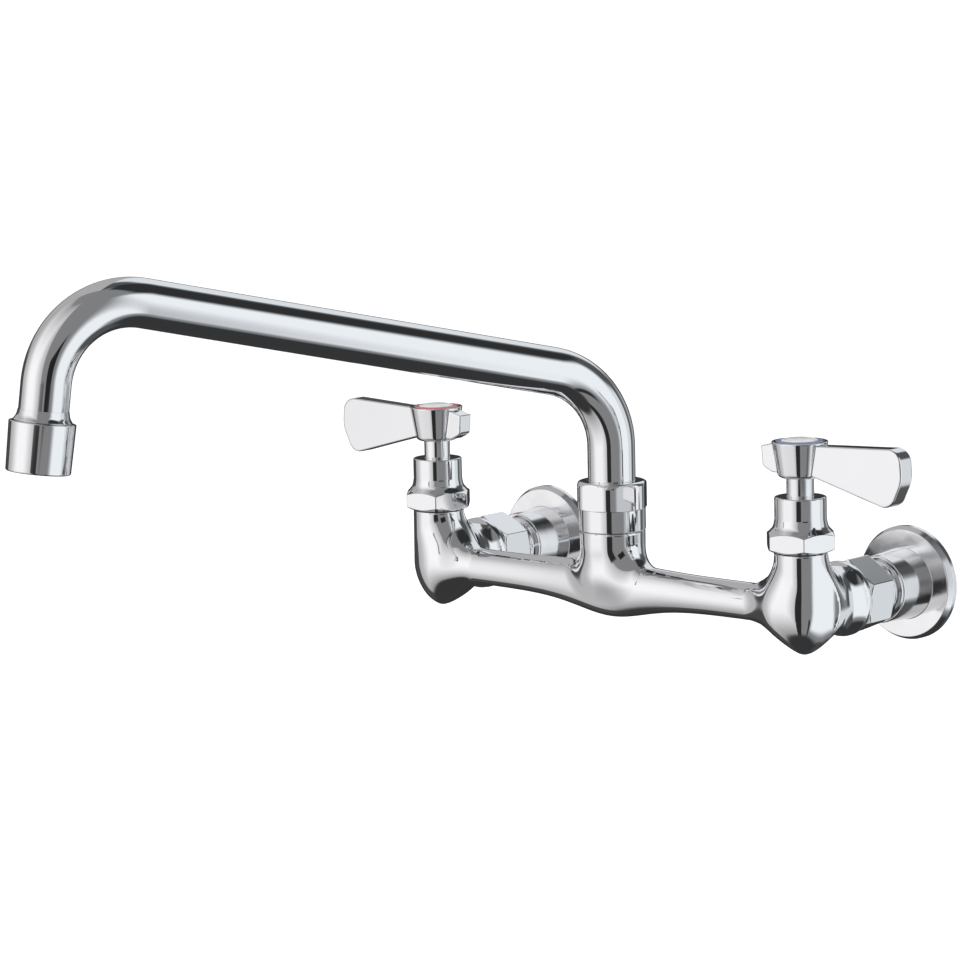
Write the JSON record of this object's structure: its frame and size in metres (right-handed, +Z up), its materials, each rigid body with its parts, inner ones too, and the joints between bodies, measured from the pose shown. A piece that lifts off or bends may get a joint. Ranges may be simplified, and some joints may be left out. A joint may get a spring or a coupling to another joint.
{
  "type": "wall-mount faucet",
  "caption": "Wall-mounted kitchen faucet: cast body on union fittings, lever valves and a tubular spout that swings from side to side.",
  "frame": {"origin": "midway between the two inlets, on the wall plane, at the height of the inlet axes", "axes": "+Z up, +X along the body towards the cold side, +Y into the wall; the faucet stands out towards -Y"},
  "size_m": [0.3112, 0.327, 0.1705],
  "materials": {
    "cast_chrome": "polished chrome plate on cast brass",
    "tube_chrome": "polished chrome plate on drawn brass tube",
    "machined_chrome": "polished chrome plate on turned brass",
    "turned_chrome": "chrome plate over fine turning marks",
    "plain_brass": "turned, unplated",
    "spring_steel": "bright stainless steel",
    "seal_rubber": "black nitrile",
    "fibre_washer": "dark rubber bonded fibre",
    "bearing_plastic": "white acetal",
    "valve_ceramic": "lapped white ceramic",
    "hot_colour": "red",
    "cold_colour": "blue",
    "index_white": "white"
  },
  "bodies": {
    "faucet_body": {"body_casting": "cast_chrome", "spout_nut": "machined_chrome", "spout_slip_ring": "bearing_plastic", "hot_wall_flange": "turned_chrome", "hot_union_washer": "fibre_washer", "hot_snap_ring": "spring_steel", "hot_coupling_nut": "machined_chrome", "hot_bonnet_gasket": "fibre_washer", "hot_bonnet": "machined_chrome", "hot_seat_seal": "seal_rubber", "hot_fixed_disc": "valve_ceramic", "cold_wall_flange": "turned_chrome", "cold_union_washer": "fibre_washer", "cold_snap_ring": "spring_steel", "cold_coupling_nut": "machined_chrome", "cold_bonnet_gasket": "fibre_washer", "cold_bonnet": "machined_chrome", "cold_seat_seal": "seal_rubber", "cold_fixed_disc": "valve_ceramic"},
    "hot_handle": {"hot_moving_disc": "valve_ceramic", "hot_thrust_washer": "bearing_plastic", "hot_spindle": "turned_chrome", "hot_spindle_o_rings": "seal_rubber", "hot_lever": "cast_chrome", "hot_handle_screw": "spring_steel", "hot_index_ring": "hot_colour", "hot_index_button": "index_white"},
    "cold_handle": {"cold_moving_disc": "valve_ceramic", "cold_thrust_washer": "bearing_plastic", "cold_spindle": "turned_chrome", "cold_spindle_o_rings": "seal_rubber", "cold_lever": "cast_chrome", "cold_handle_screw": "spring_steel", "cold_index_ring": "cold_colour", "cold_index_button": "index_white"},
    "spout": {"spout_tailpiece": "plain_brass", "spout_o_rings": "seal_rubber", "spout_tube": "tube_chrome", "outlet_adapter": "machined_chrome", "aerator_sleeve": "machined_chrome", "aerator_core": "bearing_plastic", "aerator_screen": "spring_steel", "aerator_washer": "seal_rubber"}
  },
  "joints": [
    {"name": "spout_swivel", "type": "hinge", "parent": "faucet_body", "child": "spout", "pos_m": [0, -0.076, 0.036], "axis": [0, 0, 1], "range_deg": [-77, 122]},
    {"name": "hot_valve", "type": "hinge", "parent": "faucet_body", "child": "hot_handle", "pos_m": [-0.1016, -0.076, 0.05], "axis": [0, 0, 1], "range_deg": [0, 90]},
    {"name": "cold_valve", "type": "hinge", "parent": "faucet_body", "child": "cold_handle", "pos_m": [0.1016, -0.076, 0.05], "axis": [0, 0, 1], "range_deg": [-90, 0]}
  ]
}
